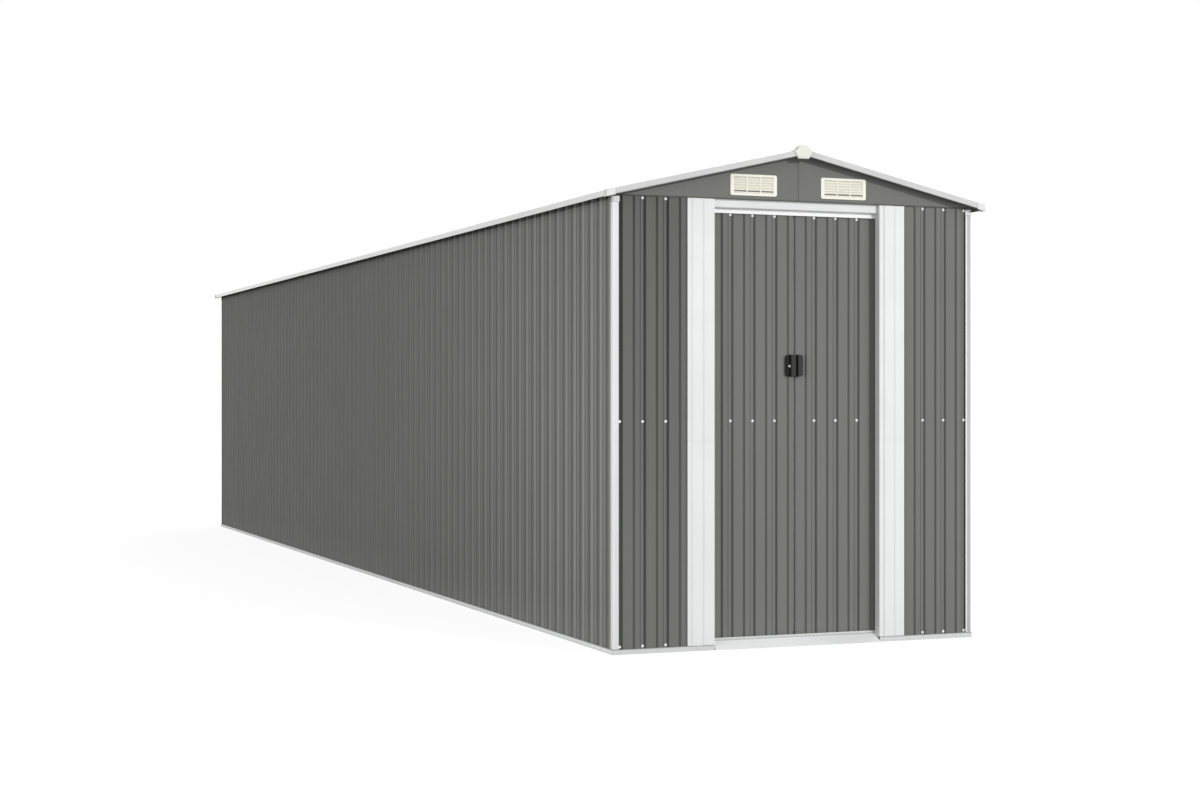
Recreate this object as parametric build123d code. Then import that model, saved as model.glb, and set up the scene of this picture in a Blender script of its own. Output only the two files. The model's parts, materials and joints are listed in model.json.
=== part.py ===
"""Long gabled storage shed of ribbed steel sheet, with a pair of sliding doors in its front gable.

Millimetres, +Z up. The front faces -Y and the origin is on the ground under the middle of the roof.
"""
import os
from math import atan2, cos, sin

from build123d import *

# Overall sizes
roof_length = 9380.0
roof_width = 1900.0
wall_height = 2008.0
eave_rise = 17.0
roof_rise = 218.0
end_overhang = 50.0
side_overhang = 47.0

# Sheet, rails and clearances
sheet_thickness = 0.5
rail_thickness = 1.0
clearance = 0.3
overrun = 20.0

# Ribs of the wall and door sheets
rib_width = 52.5
rib_slope = 5.5
rib_depth = 5.5
front_rib_pitch = 110.0
side_panel_count = 12
ribs_per_side_panel = 7
back_panel_count = 2
ribs_per_back_panel = 8

# Where the first rib of each front sheet starts, from the middle of the front
left_panel_rib_start = -806.5
right_panel_rib_start = 601.0
left_leaf_rib_start = -362.0
right_leaf_rib_start = 59.0

# Base rails and corner posts
base_lip_height = 23.0
base_proud = 4.0
base_depth = 45.0
base_upstand_height = 45.0
post_leg = 27.0
post_top_gap = 30.0
post_cap_height = 26.0
post_cap_wall = 3.2
post_cap_chamfer = 6.0
post_cap_side = 13.0

# Rails inside the walls
wall_rail_depth = 22.0
wall_rail_height = 30.0
mid_rail_height = 1001.0
top_rail_height = 40.0
lintel_height = 20.0

# Doorway
doorway_half_width = 416.0
jamb_width = 131.0
jamb_return_depth = 39.0
jamb_lap = 15.0
jamb_seam_height = 931.0
jamb_rib_start = 22.0
jamb_rib_width = 58.0
jamb_rib_slope = 4.0
jamb_rib_depth = 3.0

# Header and door track
header_setback = 17.0
header_drop = 37.0
track_lip_drop = 58.0
track_depth = 33.0
track_ledge = 13.0
track_ledge_rise = 5.0

# Sill and floor guide
sill_reach = 15.0
sill_height = 40.0
guide_height = 48.0
guide_rear_height = 40.0
guide_depth = 23.0

# Door leaves
leaf_setback = 46.0
leaf_width = 442.0
leaf_gap = 5.0
leaf_bottom = 30.0
leaf_cover = 35.0
stile_width = 26.0
leaf_frame_depth = 14.0
leaf_frame_bottom = 62.0
leaf_frame_drop = 8.0
glider_width = 36.0
glider_depth = 12.0
glider_height = 19.0
glider_inset = 70.0
glider_corner = 4.0

# Door handle, in two halves
handle_bottom = 1219.0
handle_height = 99.0
handle_left_edge = -41.0
handle_grip_edge = -19.5
handle_slit_edge = 4.5
handle_right_start = 14.5
handle_right_edge = 40.0
handle_flange = 10.0
handle_grip_rise = 17.0
handle_corner = 9.0
handle_lip = 3.0
handle_cup_depth = 8.5
handle_cup_corner = 7.0
handle_rounding = 2.5

# Gable vents
vent_width = 230.0
vent_height = 95.0
vent_lift = 20.0
left_vent_middle = -223.5
right_vent_middle = 230.0
vent_corner = 9.0
vent_flange = 3.0
vent_throat = 9.0
vent_side_border = 14.5
vent_edge_border = 8.0
vent_wall = 2.5
vent_mullion = 5.0
vent_column_count = 3
vent_slat_count = 6
vent_slat_thickness = 1.6
vent_slat_depth = 6.0
vent_slat_inset = 1.0

# Roof sheets and the frame under them
roof_panel_count = 11
ribs_per_roof_panel = 4
roof_rib_depth = 6.0
roof_rib_width = 60.0
roof_rib_slope = 8.0
rafter_height = 16.0
rafter_depth = 20.0
ridge_beam_width = 40.0
ridge_beam_height = 30.0
purlin_flange = 30.0
purlin_height = 28.0
purlin_place_share = 0.52

# Roof trims and plastic caps
verge_face = 27.0
verge_flange = 30.0
eave_face = 26.0
eave_flange = 28.0
eave_trim_bays = (1, 2, 1, 2, 2, 2, 1)
ridge_cap_reach = 45.0
ridge_cap_shoulder = 34.0
ridge_cap_top_half = 18.0
ridge_cap_rise = 13.0
end_cap_half_width = 48.0
end_cap_half_bottom = 26.0
end_cap_drop = 45.0
end_cap_plate = 7.0
end_cap_chamfer = 4.0
end_cap_wall = 2.0
end_cap_depth = 34.0
corner_cap_size = 40.0
corner_cap_wall = 2.0
corner_cap_proud = 1.0
corner_cap_face = 29.0

# Worked out from the sizes above
half_turn = 180.0
front_y = end_overhang - roof_length / 2
wall_x = roof_width / 2 - side_overhang
wall_length = roof_length - 2 * end_overhang
eave_x = roof_width / 2
roof_end_y = roof_length / 2
eave_height = wall_height + eave_rise
ridge_height = eave_height + roof_rise
slope = roof_rise / eave_x
pitch = atan2(roof_rise, eave_x)
panel_front = rail_thickness + clearance
panel_back = panel_front + rib_depth + sheet_thickness
rail_front = panel_back + clearance
lintel_bottom = wall_height + 2 * clearance + rail_thickness
rail_end = wall_x - rail_front - wall_rail_depth - clearance
track_front = jamb_return_depth + clearance
track_lip_bottom = wall_height - track_lip_drop
leaf_top = track_lip_bottom + leaf_cover
leaf_frame_top = track_lip_bottom - leaf_frame_drop
leaf_back = leaf_setback + rib_depth + sheet_thickness
frame_front = leaf_back + clearance
roof_rib_top = -rail_thickness - clearance
roof_underside = roof_rib_top - roof_rib_depth - sheet_thickness
track_top = lintel_bottom - clearance
base_top = base_lip_height + clearance
post_top = wall_height - post_top_gap
vent_bottom = wall_height + vent_lift
eave_face_bottom = eave_height - eave_face


def trim_top(x, offset=0):
    """Height of the top of the roof trims above x, or of a level that lies offset away from it."""
    return ridge_height - slope * abs(x) + offset / cos(pitch)


def front_level(z):
    """Plan of the front wall at height z: x along the wall, y inwards."""
    return Plane(origin=(0, front_y, z), x_dir=(1, 0, 0), z_dir=(0, 0, 1))


def right_level(z):
    """Plan of the right wall at height z: x along the wall, y inwards."""
    return Plane(origin=(wall_x, 0, z), x_dir=(0, 1, 0), z_dir=(0, 0, 1))


def front_section(x):
    """Section through the front wall at x: x inwards, y up."""
    return Plane(origin=(x, front_y, 0), x_dir=(0, 1, 0), z_dir=(1, 0, 0))


def right_section(y):
    """Section through the right wall at y: x inwards, y up."""
    return Plane(origin=(wall_x, y, 0), x_dir=(-1, 0, 0), z_dir=(0, 1, 0))


def upright(y):
    """Upright plane across the shed at y: x to the right, y up, facing the front."""
    return Plane(origin=(0, y, 0), x_dir=(1, 0, 0), z_dir=(0, -1, 0))


def down_slope(distance):
    """Plane across the right roof slope: x towards the back, y out of the roof, facing down the slope."""
    start = (distance * cos(pitch), 0, ridge_height - distance * sin(pitch))
    return Plane(origin=start, x_dir=(0, 1, 0), z_dir=(cos(pitch), 0, -sin(pitch)))


def along_slope(y):
    """Plane along the right roof slope at y: x down the slope, y out of the roof, facing the front."""
    return Plane(origin=(0, y, ridge_height), x_dir=(cos(pitch), 0, -sin(pitch)), z_dir=(0, -1, 0))


def bar(plane, points, length):
    """Straight bar with the given outline on the plane, pushed along the plane's normal."""
    outline = plane * make_face(Polyline(*points, close=True))
    return extrude(outline, amount=length, dir=plane.z_dir)


def block(x_from, x_to, y_from, y_to, z_from, z_to):
    """Box between two corners."""
    middle = ((x_from + x_to) / 2, (y_from + y_to) / 2, (z_from + z_to) / 2)
    return Pos(*middle) * Box(x_to - x_from, y_to - y_from, z_to - z_from)


def turned(shape):
    """The shape turned half way round, so that front becomes back and right becomes left."""
    return shape.rotate(Axis.Z, half_turn)


def both_ends(*shapes):
    """The shapes, and their copies turned half way round."""
    return [*shapes, *[turned(shape) for shape in shapes]]


def save(node, *solids):
    """Write one sub-part, made of solids that do not touch."""
    found = [one for shape in solids for one in shape.solids()]
    export_step(Compound(children=found) if len(found) > 1 else found[0], f"parts/{node}.step")


def rib_profile(start, end, rib_start, rib_pitch, width, rise, depth, front, thickness):
    """Outline of a ribbed sheet from start to end, whose rib tops lie at front and valleys behind."""
    def level(place):
        within = (place - rib_start) % rib_pitch
        edge = min(within, width - within)
        return front + depth * (1 - min(max(edge / rise, 0), 1))

    corners = [start]
    rib = rib_start + rib_pitch * ((start - rib_start) // rib_pitch)
    while rib < end:
        for place in (rib, rib + rise, rib + width - rise, rib + width):
            if start < place < end:
                corners.append(place)
        rib += rib_pitch
    corners.append(end)
    face = [(place, level(place)) for place in corners]
    return face + [(place, height + thickness) for place, height in reversed(face)]


def wall_sheet(plane, start, end, rib_start, rib_pitch, height, front=panel_front):
    """One upright ribbed wall or door sheet that stands on the plane."""
    outline = rib_profile(start, end, rib_start, rib_pitch, rib_width, rib_slope, rib_depth,
                          front, sheet_thickness)
    return bar(plane, outline, height)


def base_outline():
    """Section of a base rail: a proud front with a ledge, a sole and an upstand behind the wall sheets."""
    t = rail_thickness
    inner = rail_front + t
    return [(-base_proud, 0), (-base_proud, base_lip_height), (t, base_lip_height),
            (t, base_lip_height - t), (t - base_proud, base_lip_height - t), (t - base_proud, t),
            (rail_front, t), (rail_front, base_upstand_height), (inner, base_upstand_height), (inner, t),
            (base_depth, t), (base_depth, 0)]


def base_rails():
    """Four rails that lie on the ground and carry the walls, open across the doorway in front."""
    outer_x = wall_x + base_proud
    outer_y = wall_length / 2 + base_proud
    inner_x = wall_x - base_depth
    inner_y = wall_length / 2 - base_depth
    side = bar(right_section(-outer_y), base_outline(), 2 * outer_y)
    side_plan = [(outer_x, clearance - outer_y), (outer_x, outer_y - clearance),
                 (inner_x, inner_y - clearance), (inner_x, clearance - inner_y)]
    side &= bar(Plane.XY, side_plan, base_upstand_height)
    across = bar(front_section(-outer_x), base_outline(), 2 * outer_x)
    front_plan = [(-outer_x, -outer_y), (outer_x, -outer_y), (inner_x, -inner_y), (-inner_x, -inner_y)]
    across &= bar(Plane.XY, front_plan, base_upstand_height)
    gap_half = doorway_half_width + rail_thickness + clearance
    gap = block(-gap_half, gap_half, -outer_y - overrun, overrun - inner_y,
                -overrun, base_upstand_height + overrun)
    save("right_base_rail", side)
    save("left_base_rail", turned(side))
    save("front_base_rails", across - gap)
    save("back_base_rail", turned(across))


def corner_posts():
    """Angle posts that cover the four corners, from the base rails to the eaves."""
    leg = post_leg
    plan = [(0, 0), (leg, 0), (leg, rail_thickness), (rail_thickness, rail_thickness),
            (rail_thickness, leg), (0, leg)]
    height = post_top - base_top
    left = bar(front_level(base_top), [(x - wall_x, y) for x, y in plan], height)
    right = bar(front_level(base_top), [(wall_x - x, y) for x, y in plan], height)
    save("corner_posts", *both_ends(left, right))


def post_caps():
    """Moulded caps on the corner posts, just under the eaves."""
    low = post_top + clearance
    wall = post_cap_wall
    cut = post_cap_chamfer - wall
    end = post_leg + wall
    outline = [(-wall, cut), (cut, -wall), (end, -wall), (end, rail_thickness),
               (rail_thickness, rail_thickness), (rail_thickness, post_cap_side), (-wall, post_cap_side)]
    left = bar(front_level(low), [(x - wall_x, y) for x, y in outline], post_cap_height)
    right = bar(front_level(low), [(wall_x - x, y) for x, y in outline], post_cap_height)
    save("post_caps", *both_ends(left, right))


def side_walls():
    """Long walls of ribbed sheets set side by side between the corner posts."""
    start = -wall_length / 2 + rail_front
    panel_width = (wall_length - 2 * rail_front) / side_panel_count
    rib_pitch = panel_width / ribs_per_side_panel
    first_rib = (rib_pitch - rib_width) / 2
    foot = rail_thickness + clearance
    height = trim_top(wall_x - panel_front, roof_underside) - clearance - foot
    panels = []
    for index in range(side_panel_count):
        edge = start + index * panel_width
        panels.append(wall_sheet(right_level(foot), edge, edge + panel_width - clearance,
                                 edge + first_rib, rib_pitch, height))
    save("right_wall_panels", *panels)
    save("left_wall_panels", *[turned(panel) for panel in panels])


def end_walls():
    """Ribbed sheets beside the doorway, and those that close the back."""
    foot = rail_thickness + clearance
    height = wall_height - clearance - foot
    outer = wall_x - panel_front
    inner = doorway_half_width + jamb_width - jamb_lap
    level = front_level(foot)
    save("front_left_panel", wall_sheet(level, -outer, -inner, left_panel_rib_start, front_rib_pitch, height))
    save("front_right_panel", wall_sheet(level, inner, outer, right_panel_rib_start, front_rib_pitch, height))
    panel_width = 2 * outer / back_panel_count
    rib_pitch = panel_width / ribs_per_back_panel
    first_rib = (rib_pitch - rib_width) / 2
    panels = []
    for index in range(back_panel_count):
        edge = index * panel_width - outer
        panels.append(turned(wall_sheet(level, edge, edge + panel_width - clearance,
                                        edge + first_rib, rib_pitch, height)))
    save("back_wall_panels", *panels)


def angle_outline(bottom, height, front, depth):
    """Section of an angle rail with its upright leg towards the wall and its foot below."""
    return [(front, bottom), (front, bottom + height), (front + rail_thickness, bottom + height),
            (front + rail_thickness, bottom + rail_thickness), (front + depth, bottom + rail_thickness),
            (front + depth, bottom)]


def wall_rails():
    """Angle rails inside the walls: one at half height all round and one along each eave."""
    side_length = wall_length - 2 * rail_front
    middle = angle_outline(mid_rail_height, wall_rail_height, rail_front, wall_rail_depth)
    inner = doorway_half_width + rail_thickness + clearance
    front = [bar(front_section(start), middle, rail_end - inner) for start in (-rail_end, inner)]
    back = turned(bar(front_section(-rail_end), middle, 2 * rail_end))
    save("wall_mid_rails", *both_ends(bar(right_section(-side_length / 2), middle, side_length)), *front, back)
    top = trim_top(wall_x - rail_front, roof_underside) - clearance
    eave = angle_outline(top - top_rail_height, top_rail_height, rail_front, wall_rail_depth)
    save("wall_top_rails", *both_ends(bar(right_section(-side_length / 2), eave, side_length)))


def lintels():
    """Rails across the tops of the two end walls: they carry the gables, and in front the door track."""
    front = panel_front + sheet_thickness + clearance
    reach = track_front + track_depth - front
    section = angle_outline(lintel_bottom, lintel_height, front, reach)
    save("front_lintel", bar(front_section(-rail_end), section, 2 * rail_end))
    section = angle_outline(lintel_bottom, lintel_height, front, wall_rail_depth)
    save("back_lintel", turned(bar(front_section(-rail_end), section, 2 * rail_end)))


def jambs():
    """Two wide ribbed jambs beside the doorway, each turned in towards the door and made in two lengths."""
    t = rail_thickness
    left_edge = -doorway_half_width - jamb_width
    for node, start, side in (("left_jamb", left_edge, -1), ("right_jamb", doorway_half_width, 1)):
        rib = start + jamb_rib_start
        rib_end = rib + jamb_rib_width
        face = [(start, 0), (rib, 0), (rib + jamb_rib_slope, -jamb_rib_depth),
                (rib_end - jamb_rib_slope, -jamb_rib_depth), (rib_end, 0), (start + jamb_width, 0)]
        behind = [(x, y + t) for x, y in face]
        inner = side * doorway_half_width
        if side < 0:
            behind[-1] = (inner - t, t)
            turn = [(inner, jamb_return_depth), (inner - t, jamb_return_depth)]
            outline = face + turn + list(reversed(behind))
        else:
            behind[0] = (inner + t, t)
            turn = [(inner + t, jamb_return_depth), (inner, jamb_return_depth)]
            outline = face + list(reversed(behind)) + turn
        lower = bar(front_level(base_top), outline, jamb_seam_height - base_top)
        upper_bottom = jamb_seam_height + clearance
        upper = bar(front_level(upper_bottom), outline, wall_height - clearance - upper_bottom)
        save(node, lower, upper)


def header_and_track():
    """Header band over the doorway, and behind it the channel from which the leaves hang."""
    t = rail_thickness
    half = doorway_half_width - clearance
    header_bottom = wall_height - header_drop
    header = [(header_setback, header_bottom), (header_setback, track_top), (header_setback + t, track_top),
              (header_setback + t, header_bottom + t), (jamb_return_depth, header_bottom + t),
              (jamb_return_depth, header_bottom)]
    save("door_header", bar(front_section(-half), header, 2 * half))
    back = track_front + track_depth
    ledge = track_lip_bottom + track_ledge_rise
    track = [(track_front, track_lip_bottom), (track_front, track_top), (back, track_top), (back, ledge),
             (back - track_ledge, ledge), (back - track_ledge, ledge + t), (back - t, ledge + t),
             (back - t, track_top - t), (track_front + t, track_top - t), (track_front + t, track_lip_bottom)]
    save("door_track", bar(front_section(-rail_end), track, 2 * rail_end))


def sill_and_guide():
    """Sloping sill plate on the ground, and the floor channel behind it that guides the leaves."""
    t = rail_thickness
    half = doorway_half_width - clearance
    back = track_front - clearance
    sill = [(-sill_reach, 0), (back - t, sill_height), (back, sill_height), (back, 0), (back - t, 0),
            (back - t, sill_height - 2 * t), (2 * t - sill_reach, 0)]
    save("door_sill", bar(front_section(-half), sill, 2 * half))
    rear = track_front + guide_depth
    sole = t + clearance
    guide = [(track_front, sole), (track_front, guide_height), (track_front + t, guide_height),
             (track_front + t, sole + t), (rear - t, sole + t), (rear - t, guide_rear_height),
             (rear, guide_rear_height), (rear, sole)]
    save("door_guide", bar(front_section(-rail_end), guide, 2 * rail_end))


def gables():
    """Flat gable sheets in two halves, open behind the vents, at the front and the back."""
    outer = wall_x - panel_front
    middle = clearance / 2
    half = [(middle, wall_height), (outer, wall_height),
            (outer, trim_top(outer, roof_underside) - clearance),
            (middle, trim_top(middle, roof_underside) - clearance)]
    plane = upright(front_y + panel_front + sheet_thickness)
    right = bar(plane, half, sheet_thickness)
    left = bar(plane, [(-x, z) for x, z in half], sheet_thickness)
    holes = [vent_hole(place) for place in (left_vent_middle, right_vent_middle)]
    left -= holes[0]
    right -= holes[1]
    save("front_gable_panels", left, right)
    save("back_gable_panels", turned(left), turned(right))


def vent_hole(middle):
    """Cut through the gable sheet for one vent's throat."""
    half_width = vent_width / 2 - vent_side_border + clearance
    bottom = vent_bottom + vent_edge_border - clearance
    top = vent_bottom + vent_height - vent_edge_border + clearance
    return block(middle - half_width, middle + half_width, front_y - overrun, front_y + overrun, bottom, top)


def vent(middle):
    """Moulded vent: a rounded flange round three columns of sloping slats."""
    plane = upright(front_y + rail_thickness)
    centre = (middle, vent_bottom + vent_height / 2)
    flange = extrude(plane * Pos(*centre) * RectangleRounded(vent_width, vent_height, vent_corner),
                     amount=vent_flange, dir=plane.z_dir)
    throat_width = vent_width - 2 * vent_side_border
    throat_height = vent_height - 2 * vent_edge_border
    throat = extrude(plane * Pos(*centre) * Rectangle(throat_width, throat_height), amount=vent_throat,
                     dir=-plane.z_dir)
    body = flange + throat
    pane_width = throat_width - 2 * vent_wall
    pane_height = throat_height - 2 * vent_wall
    column = (pane_width - (vent_column_count - 1) * vent_mullion) / vent_column_count
    row = pane_height / vent_slat_count
    pane_bottom = vent_bottom + vent_edge_border + vent_wall
    front = rail_thickness - vent_flange + vent_slat_inset
    back = front + vent_slat_depth
    for index in range(vent_column_count):
        left = middle - pane_width / 2 + index * (column + vent_mullion)
        body -= block(left, left + column, front_y - overrun, front_y + overrun,
                      pane_bottom, pane_bottom + pane_height)
    left = middle - (pane_width + vent_wall) / 2
    lean = row - 2 * vent_slat_thickness
    for index in range(vent_slat_count):
        low = pane_bottom + index * row + vent_slat_thickness / 2
        slat = [(front, low), (back, low + lean), (back, low + lean + vent_slat_thickness),
                (front, low + vent_slat_thickness)]
        body += bar(front_section(left), slat, pane_width + vent_wall)
    return body


def vents():
    """Four like vents, two in each gable."""
    pair = [vent(left_vent_middle), vent(right_vent_middle)]
    save("gable_vents", *both_ends(*pair))


def roof():
    """Roof sheets, ribbed down the slope, from under the ridge cap to the eave trims."""
    start = rail_thickness + clearance - roof_end_y
    panel_width = (roof_length - 2 * (rail_thickness + clearance)) / roof_panel_count
    rib_pitch = panel_width / ribs_per_roof_panel
    first_rib = (rib_pitch - roof_rib_width) / 2
    upper = ridge_cap_top_half
    lower = (eave_x - rail_thickness - clearance) / cos(pitch) + roof_underside * sin(pitch)
    panels = []
    for index in range(roof_panel_count):
        edge = start + index * panel_width
        outline = rib_profile(edge, edge + panel_width - clearance, edge + first_rib, rib_pitch,
                              roof_rib_width, roof_rib_slope, roof_rib_depth, -roof_rib_top, sheet_thickness)
        panels.append(bar(down_slope(upper), [(y, -depth) for y, depth in outline], lower - upper))
    save("right_roof_panels", *panels)
    save("left_roof_panels", *[turned(panel) for panel in panels])


def roof_frame():
    """Rafters behind the gables, a ridge beam and a purlin on each slope, all inside under the sheets."""
    front = front_y + panel_front + sheet_thickness + clearance
    top = roof_underside - clearance
    t = rail_thickness
    foot = top - rafter_height
    lintel_top = lintel_bottom + lintel_height
    upper = (ridge_beam_width / 2 + clearance - foot * sin(pitch)) / cos(pitch)
    lower = (ridge_height + foot * cos(pitch) - lintel_top - clearance) / sin(pitch)
    rafter = [(front, top), (front + rafter_depth, top), (front + rafter_depth, top - t), (front + t, top - t),
              (front + t, top - rafter_height), (front, top - rafter_height)]
    right = bar(down_slope(upper), rafter, lower - upper)
    save("gable_rafters", *both_ends(right.mirror(Plane.YZ), right))
    half = ridge_beam_width / 2
    beam_top = trim_top(half, top)
    beam = [(-half, beam_top - ridge_beam_height), (-half, beam_top), (half, beam_top),
            (half, beam_top - ridge_beam_height), (half - t, beam_top - ridge_beam_height),
            (half - t, beam_top - t), (t - half, beam_top - t), (t - half, beam_top - ridge_beam_height)]
    save("ridge_beam", bar(upright(-front), beam, -2 * front))
    place = purlin_place_share * eave_x / cos(pitch)
    purlin = [(place, top), (place + purlin_flange, top), (place + purlin_flange, top - t), (place + t, top - t),
              (place + t, top - purlin_height), (place, top - purlin_height)]
    purlin_end = front + rafter_depth + clearance
    right = bar(along_slope(-purlin_end), purlin, -2 * purlin_end)
    save("purlins", *both_ends(right))


def roof_trims():
    """Verge trims along the four sloping edges and eave trims along the two long ones."""
    t = rail_thickness
    verge = [(-roof_end_y, 0), (verge_flange - roof_end_y, 0), (verge_flange - roof_end_y, -t),
             (t - roof_end_y, -t), (t - roof_end_y, -verge_face), (-roof_end_y, -verge_face)]
    right = bar(down_slope(-overrun), verge, eave_x / cos(pitch) + overrun)
    right &= block(clearance, eave_x - corner_cap_size - clearance, -roof_end_y - overrun, 0,
                   0, ridge_height + overrun)
    save("verge_trims", *both_ends(right.mirror(Plane.YZ), right))
    inner = eave_x - eave_flange
    eave = [(eave_x, trim_top(eave_x)), (eave_x, eave_face_bottom), (eave_x - t, eave_face_bottom),
            (eave_x - t, trim_top(eave_x - t, -t)), (inner, trim_top(inner, -t)), (inner, trim_top(inner))]
    start = corner_cap_size + clearance - roof_end_y
    bay = (roof_length - 2 * corner_cap_size - clearance) / sum(eave_trim_bays)
    pieces = []
    for bays in eave_trim_bays:
        length = bays * bay
        pieces.append(bar(upright(start + length - clearance), eave, length - clearance))
        start += length
    save("right_eave_trim", *pieces)
    save("left_eave_trim", *[piece.mirror(Plane.YZ) for piece in pieces])


def ridge_outline(lift):
    """Upper outline of the ridge cap from left to right, raised by lift."""
    right = [(ridge_cap_top_half, ridge_height + ridge_cap_rise + lift),
             (ridge_cap_shoulder, trim_top(ridge_cap_shoulder, clearance + rail_thickness) + lift),
             (ridge_cap_reach, trim_top(ridge_cap_reach, clearance + rail_thickness) + lift)]
    return [(-x, z) for x, z in reversed(right)] + right


def ridge():
    """Folded cap along the ridge, closed at each end by a moulded end cap."""
    outside = ridge_outline(0)
    inside = ridge_outline(-rail_thickness)
    cap = bar(upright(roof_end_y), outside + list(reversed(inside)), roof_length)
    save("ridge_cap", cap)
    under = ridge_outline(clearance)
    over = ridge_outline(clearance + end_cap_wall)
    skirt = bar(upright(end_cap_depth - roof_end_y), over + list(reversed(under)),
                end_cap_depth + clearance + end_cap_plate - end_cap_chamfer)
    side_low = trim_top(end_cap_half_width) + clearance
    top = over[2][1]
    face = [(-end_cap_half_width, side_low), over[0], over[1], (-ridge_cap_top_half, top),
            (ridge_cap_top_half, top), over[4], over[5], (end_cap_half_width, side_low),
            (end_cap_half_bottom, ridge_height - end_cap_drop),
            (-end_cap_half_bottom, ridge_height - end_cap_drop)]
    plate = bar(upright(-roof_end_y - clearance), face, end_cap_plate)
    plate = chamfer(plate.faces().sort_by(Axis.Y)[0].edges(), end_cap_chamfer)
    save("ridge_end_caps", *both_ends(plate + skirt))


def corner_caps():
    """Moulded caps over the four corners where the verge and eave trims meet."""
    outer = eave_x + corner_cap_proud
    inner = eave_x - corner_cap_size
    wall = corner_cap_wall
    shell = [(inner, trim_top(inner, -corner_cap_face)), (outer, trim_top(outer, -corner_cap_face)),
             (outer, trim_top(outer, corner_cap_proud)), (inner, trim_top(inner, corner_cap_proud))]
    low = trim_top(outer, -corner_cap_face) - overrun
    hollow = [(inner - overrun, low), (outer - wall, low),
              (outer - wall, trim_top(outer - wall, corner_cap_proud - wall)),
              (inner - overrun, trim_top(inner - overrun, corner_cap_proud - wall))]
    front = -roof_end_y - corner_cap_proud
    back = corner_cap_size - roof_end_y
    cap = bar(upright(back), shell, back - front)
    cap -= bar(upright(back + overrun), hollow, back + overrun - front - wall)
    save("roof_corner_caps", *both_ends(cap, cap.mirror(Plane.YZ)))


def leaf_frame(start, end):
    """Bars behind one leaf's sheet: two stiles and three rails in one frame."""
    front = front_y + frame_front
    back = front + leaf_frame_depth
    frame = block(start, end, front, back, leaf_frame_bottom, leaf_frame_top)
    inside = (start + stile_width, end - stile_width)
    mid_top = mid_rail_height + stile_width
    for low, high in ((leaf_frame_bottom + stile_width, mid_rail_height),
                      (mid_top, leaf_frame_top - stile_width)):
        frame -= block(*inside, front - overrun, back + overrun, low, high)
    return frame


def glider(x):
    """Plastic glider that rides on the ledge of the track."""
    front = front_y + frame_front + rail_thickness + clearance
    low = track_lip_bottom + track_ledge_rise + rail_thickness + clearance
    shape = Rectangle(glider_width, glider_height)
    shape = chamfer(shape.vertices(), glider_corner)
    plane = upright(front + glider_depth)
    return extrude(plane * Pos(x, low + glider_height / 2) * shape, amount=glider_depth, dir=plane.z_dir)


def leaves():
    """Two sliding leaves: a ribbed sheet, the frame behind it, a hanging strip and two gliders."""
    inner = leaf_gap / 2
    outer = inner + leaf_width
    front = front_y + frame_front
    for side, start, end, rib_start in (("left", -outer, -inner, left_leaf_rib_start),
                                        ("right", inner, outer, right_leaf_rib_start)):
        sheet = wall_sheet(front_level(leaf_bottom), start, end, rib_start, front_rib_pitch,
                           leaf_top - leaf_bottom, leaf_setback)
        save(f"{side}_door_panel", sheet)
        save(f"{side}_door_frame", leaf_frame(start, end))
        save(f"{side}_door_hanger", block(start, end, front, front + rail_thickness,
                                          leaf_frame_top + clearance, leaf_top))
        save(f"{side}_door_gliders", glider(start + glider_inset), glider(end - glider_inset))


def handle_part(x_from, x_to, back, rise, cut_edges=None):
    """One block of the handle from the leaf outwards, cut at two corners and rounded on its outer edges."""
    top = handle_bottom + handle_height
    part = block(x_from, x_to, front_y + back - rise, front_y + back, handle_bottom, top)
    if cut_edges is not None:
        part = chamfer(part.edges().filter_by(Axis.Y).group_by(Axis.X)[cut_edges], handle_corner)
    outer = part.faces().sort_by(Axis.Y)[0]
    return fillet(outer.edges(), handle_rounding)


def handles():
    """Black plastic handle in two halves, one on each leaf; the left half covers the meeting edge."""
    back = leaf_setback - clearance
    flange = handle_part(handle_left_edge, handle_grip_edge + handle_rounding, back, handle_flange, 0)
    front = front_y + back - handle_flange
    cup = block(handle_left_edge + handle_lip, handle_grip_edge + handle_rounding, front - overrun,
                front + handle_cup_depth, handle_bottom + handle_lip,
                handle_bottom + handle_height - handle_lip)
    cup = chamfer(cup.edges().filter_by(Axis.Y).group_by(Axis.X)[0], handle_cup_corner)
    flange -= cup
    grip = handle_part(handle_grip_edge, handle_slit_edge, back, handle_grip_rise)
    save("left_door_handle", flange + grip)
    back = leaf_setback + rib_depth - clearance
    save("right_door_handle", handle_part(handle_right_start, handle_right_edge, back,
                                          handle_grip_rise + rib_depth, -1))


os.makedirs("parts", exist_ok=True)
base_rails()
corner_posts()
post_caps()
side_walls()
end_walls()
wall_rails()
lintels()
jambs()
header_and_track()
sill_and_guide()
gables()
vents()
roof()
roof_frame()
roof_trims()
ridge()
corner_caps()
leaves()
handles()
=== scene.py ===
"""Looks of the long gabled metal shed: ribbed sheets, trims, screws, plastic fittings and a studio.

Metres, +Z up. The front faces -Y and the origin is on the ground under the middle of the roof.
"""
import json
import math
from collections import namedtuple

import bpy
import bmesh
import numpy as np
from mathutils import Matrix, Vector

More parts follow.
